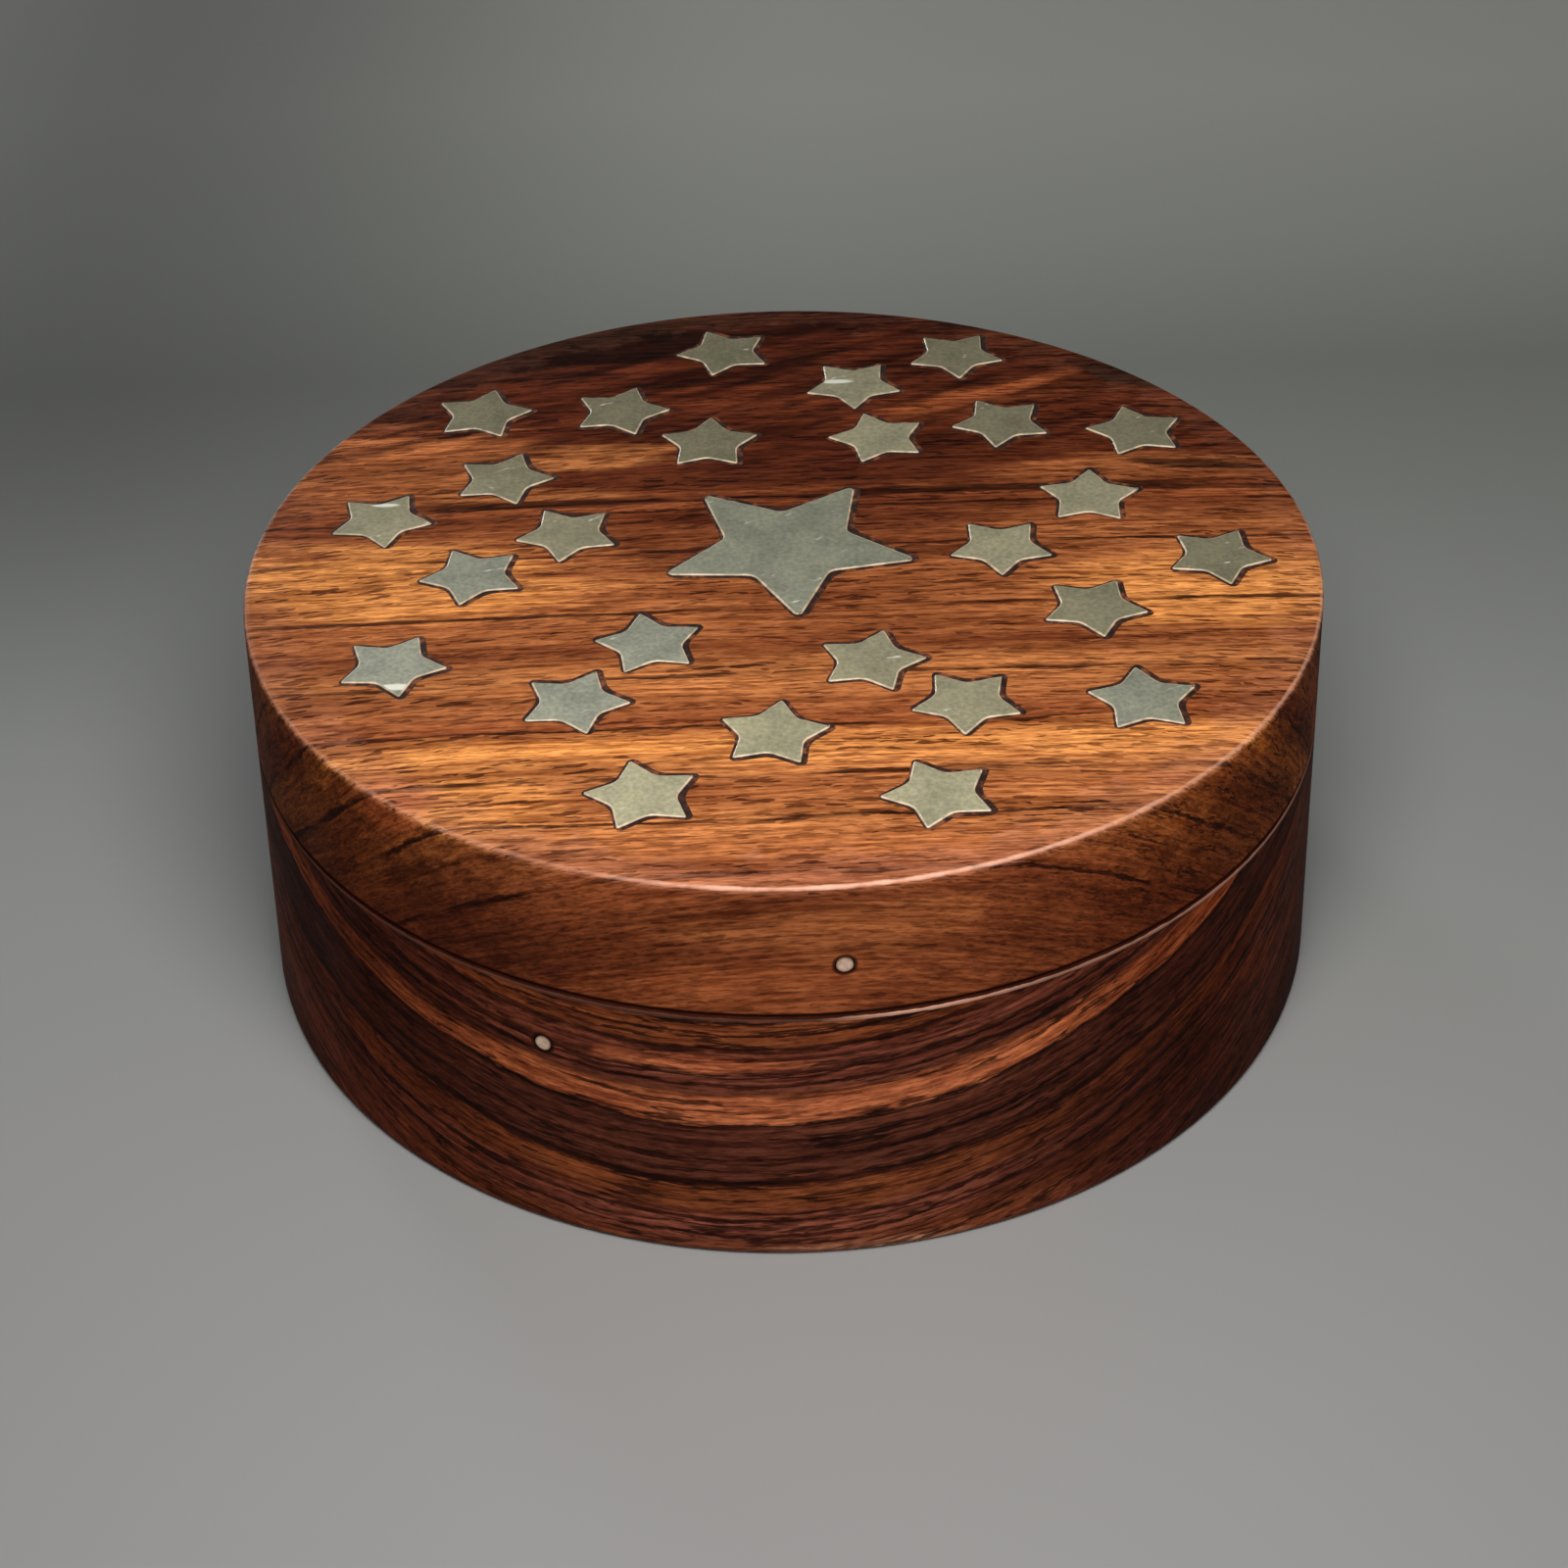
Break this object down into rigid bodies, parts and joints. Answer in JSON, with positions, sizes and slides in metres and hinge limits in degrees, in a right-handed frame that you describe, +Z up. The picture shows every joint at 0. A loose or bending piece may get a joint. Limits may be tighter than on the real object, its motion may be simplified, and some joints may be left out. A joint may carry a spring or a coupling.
{
  "type": "round lidded wooden box",
  "caption": "Low round turned box of dark figured hardwood with a lift-off push-fit lid, its top inlaid with a large star of shell and rings of small ones.",
  "frame": {"origin": "centre of the underside, on the box's turning axis", "axes": "+Z up along the turning axis; -Y is the front, the side that carries the two marking pegs; +X is to the right as seen from the front"},
  "size_m": [0.104, 0.104, 0.041],
  "materials": {
    "base_wood": "dark red-brown figured hardwood, polished semi-gloss",
    "lid_wood": "golden to red-brown figured hardwood, polished semi-gloss",
    "shell_large": "grey-green shell, polished",
    "shell_small": "grey-green shell with silvery sheen, polished",
    "filler": "dark brown filler, sanded level",
    "peg": "pale bone, polished"
  },
  "bodies": {
    "base": {"base": "base_wood", "base_mark_peg": "peg"},
    "lid": {"lid": "lid_wood", "star_center": "shell_large", "star_outer_01": "shell_small", "star_outer_02": "shell_small", "star_outer_03": "shell_small", "star_outer_04": "shell_small", "star_outer_05": "shell_small", "star_outer_06": "shell_small", "star_outer_07": "shell_small", "star_outer_08": "shell_small", "star_outer_09": "shell_small", "star_outer_10": "shell_small", "star_middle_01": "shell_small", "star_middle_02": "shell_small", "star_middle_03": "shell_small", "star_middle_04": "shell_small", "star_middle_05": "shell_small", "star_middle_06": "shell_small", "star_middle_07": "shell_small", "star_middle_08": "shell_small", "star_middle_09": "shell_small", "star_middle_10": "shell_small", "star_inner_01": "shell_small", "star_inner_02": "shell_small", "star_inner_03": "shell_small", "star_inner_04": "shell_small", "star_inner_05": "shell_small", "star_inner_06": "shell_small", "star_filler": "filler", "lid_mark_peg": "peg"}
  },
  "joints": [
    {"name": "lid_lift", "type": "slide", "parent": "base", "child": "lid", "axis": [0, 0, 1], "range_m": [0, 0.05]}
  ]
}
